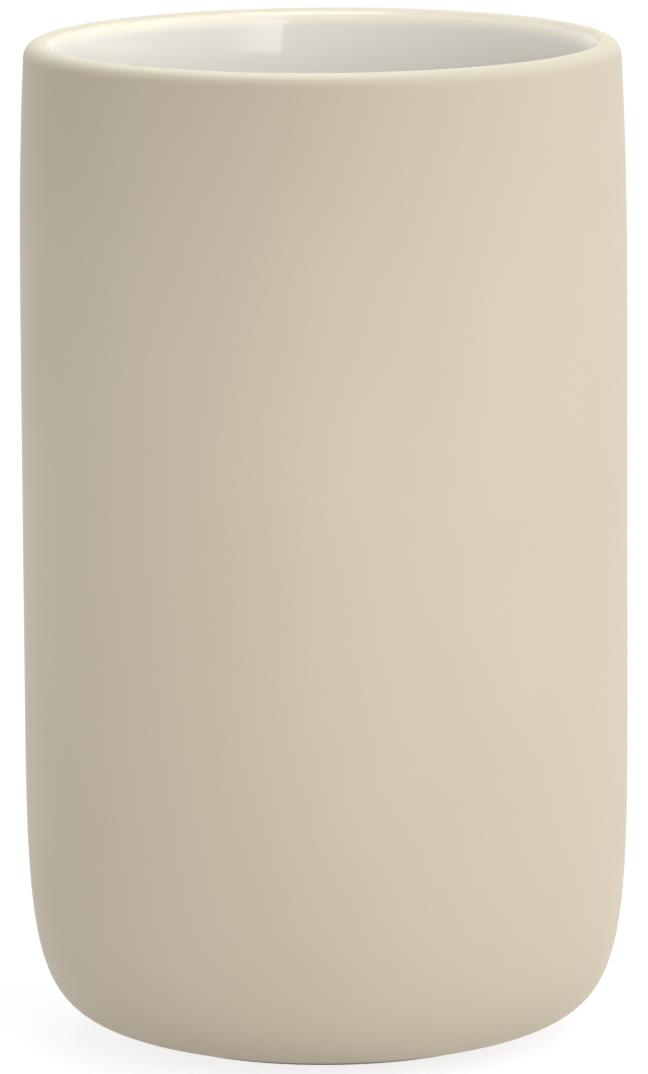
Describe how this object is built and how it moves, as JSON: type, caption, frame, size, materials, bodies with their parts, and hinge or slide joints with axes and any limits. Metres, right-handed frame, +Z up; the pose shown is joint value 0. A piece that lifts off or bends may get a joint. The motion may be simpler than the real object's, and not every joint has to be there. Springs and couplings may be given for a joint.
{
  "type": "toothbrush holder",
  "caption": "Tall round open tumbler with a rolled lip, rounded base edge, matte outside, gloss white inside and soft pads under its foot, for standing toothbrushes in.",
  "frame": {"origin": "on the cup's axis, on the surface that it stands on, under the pads", "axes": "+Z up along the cup's axis, towards the open lip; the cup is round, so X and Y are any two square directions"},
  "size_m": [0.0662, 0.0662, 0.11],
  "materials": {
    "bare_stoneware": "fired, unglazed, dry matte",
    "soft_touch_beige": "even soft-touch lacquer over the clay, warm beige, satin matte",
    "gloss_white_glaze": "gloss, cool white",
    "pad_foam": "matte soft foam rubber"
  },
  "bodies": {
    "root": {"clay_body": "bare_stoneware", "soft_touch_coat": "soft_touch_beige", "white_glaze": "gloss_white_glaze", "non_slip_pad_1": "pad_foam", "non_slip_pad_2": "pad_foam", "non_slip_pad_3": "pad_foam", "non_slip_pad_4": "pad_foam"}
  },
  "joints": []
}
